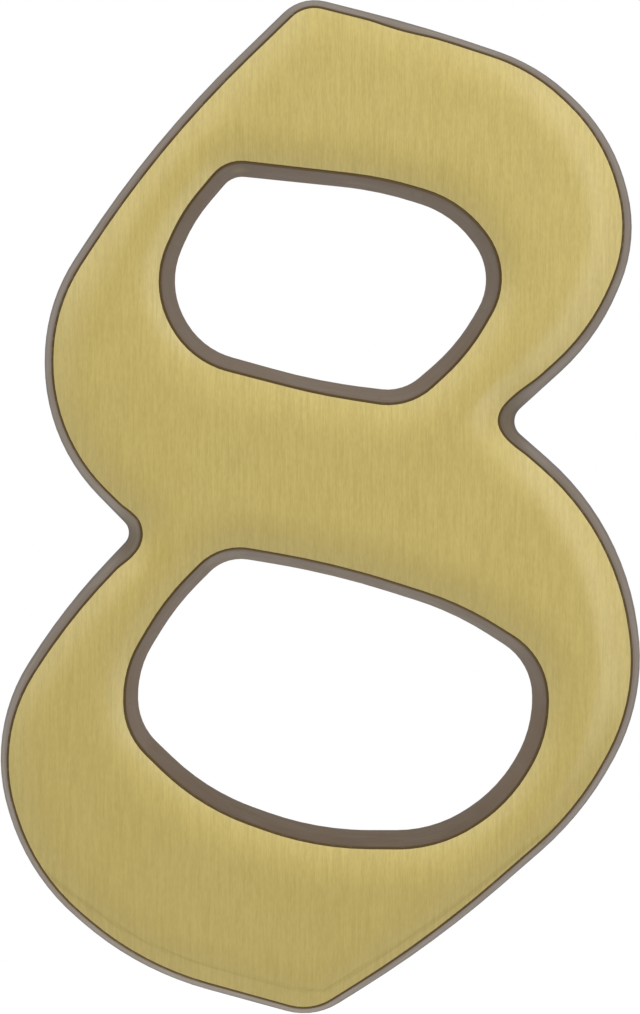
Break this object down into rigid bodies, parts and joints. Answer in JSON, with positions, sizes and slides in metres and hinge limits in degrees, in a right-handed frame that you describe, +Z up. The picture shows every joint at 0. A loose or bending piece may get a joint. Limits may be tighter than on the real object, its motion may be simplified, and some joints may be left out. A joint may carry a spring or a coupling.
{
  "type": "house number",
  "caption": "Solid brass house number eight with a satin face, rolled edges and dark drafted sides, fixed to a wall by hidden studs in blind tapped holes in its flat back.",
  "frame": {"origin": "middle of the back face, halfway between the stud holes", "axes": "+Z up along the height of the figure, +X to the right as it is read, +Y out of the back into the wall"},
  "size_m": [0.0762, 0.0063, 0.1206],
  "materials": {
    "satin_brass": "satin brushed along the height on the face, dark brown lacquer on the sides"
  },
  "bodies": {
    "root": {"house_number": "satin_brass"}
  },
  "joints": []
}
